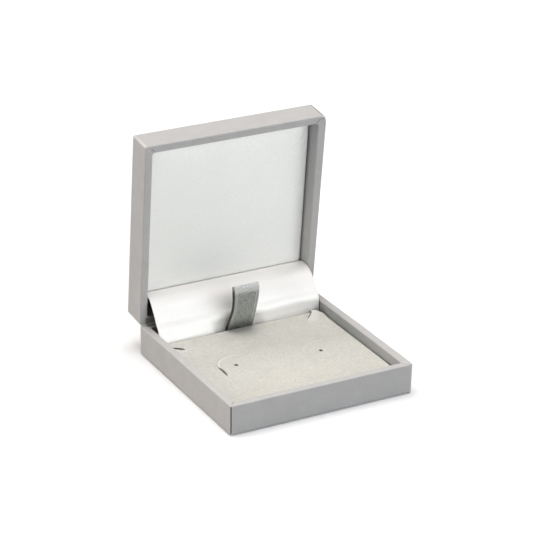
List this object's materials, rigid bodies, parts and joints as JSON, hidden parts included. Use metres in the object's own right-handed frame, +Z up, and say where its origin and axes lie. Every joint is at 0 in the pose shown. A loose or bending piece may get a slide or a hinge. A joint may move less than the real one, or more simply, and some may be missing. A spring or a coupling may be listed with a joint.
{
  "type": "earring box",
  "caption": "Square wrapped earring box standing open: hinged lid with a padded satin panel, satin flap over the hinge, and a lift-out flocked insert with a ribbon pull.",
  "frame": {"origin": "middle of the flat underside of the base", "axes": "+Z up, +X to the right seen from the front, +Y from the front to the hinge"},
  "size_m": [0.09, 0.1031, 0.1048],
  "materials": {
    "wrap": "matt grey leatherette paper",
    "board": "grey board",
    "underside_paper": "matt paper",
    "steel": "bright rolled steel",
    "satin": "white satin",
    "card": "folding card",
    "foam": "soft foam",
    "velour": "flocked velour",
    "ribbon": "grosgrain"
  },
  "bodies": {
    "base": {"base_carcass": "board", "base_wrap": "wrap", "base_underside_sheet": "underside_paper", "hinge_base_leaf": "steel", "hinge_pin": "steel", "base_rivet_1": "steel", "base_rivet_2": "steel", "satin_flap": "satin", "snap_spring_left": "steel", "snap_spring_right": "steel"},
    "lid": {"lid_carcass": "board", "lid_wrap": "wrap", "hinge_lid_leaf": "steel", "lid_rivet_1": "steel", "lid_rivet_2": "steel", "lid_pad_card": "card", "lid_pad_foam": "foam", "lid_pad_cover": "satin"},
    "insert": {"insert_card": "card", "insert_velour": "velour", "pull_ribbon": "ribbon"}
  },
  "joints": [
    {"name": "lid_hinge", "type": "hinge", "parent": "base", "child": "lid", "pos_m": [0, 0.0447, 0.01435], "axis": [1, 0, 0], "range_deg": [0, 84.8], "deforming": ["satin_flap", "snap_spring_left", "snap_spring_right", "pull_ribbon"]},
    {"name": "insert_lift", "type": "slide", "parent": "base", "child": "insert", "axis": [0, 0, 1], "range_m": [0, 0.01]}
  ]
}
